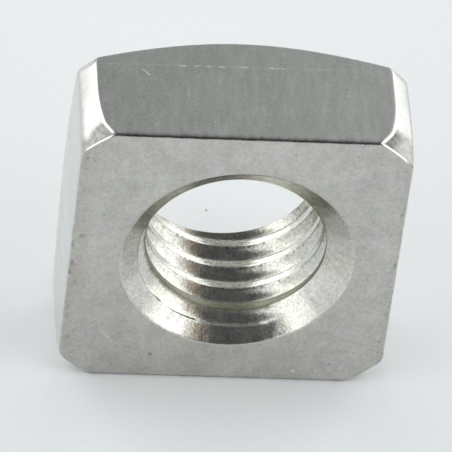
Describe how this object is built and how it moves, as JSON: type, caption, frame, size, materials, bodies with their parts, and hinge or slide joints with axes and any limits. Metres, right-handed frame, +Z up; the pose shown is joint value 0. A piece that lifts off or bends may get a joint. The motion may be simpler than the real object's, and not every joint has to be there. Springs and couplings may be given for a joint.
{
  "type": "square nut",
  "caption": "Square nut with a right-hand coarse metric thread, a countersunk flat bearing face, chamfered corners and a crowned back face.",
  "frame": {"origin": "middle of the side that the nut stands on, halfway between the bearing face and the crowned face", "axes": "+Z up, +Y along the thread's axis from the bearing face to the crowned face, +X along the side that the nut stands on"},
  "size_m": [0.019, 0.0086, 0.019],
  "materials": {
    "steel": "bright stainless steel, satin on the flats and smoother in the thread and countersinks"
  },
  "bodies": {
    "root": {"square_nut": "steel"}
  },
  "joints": []
}
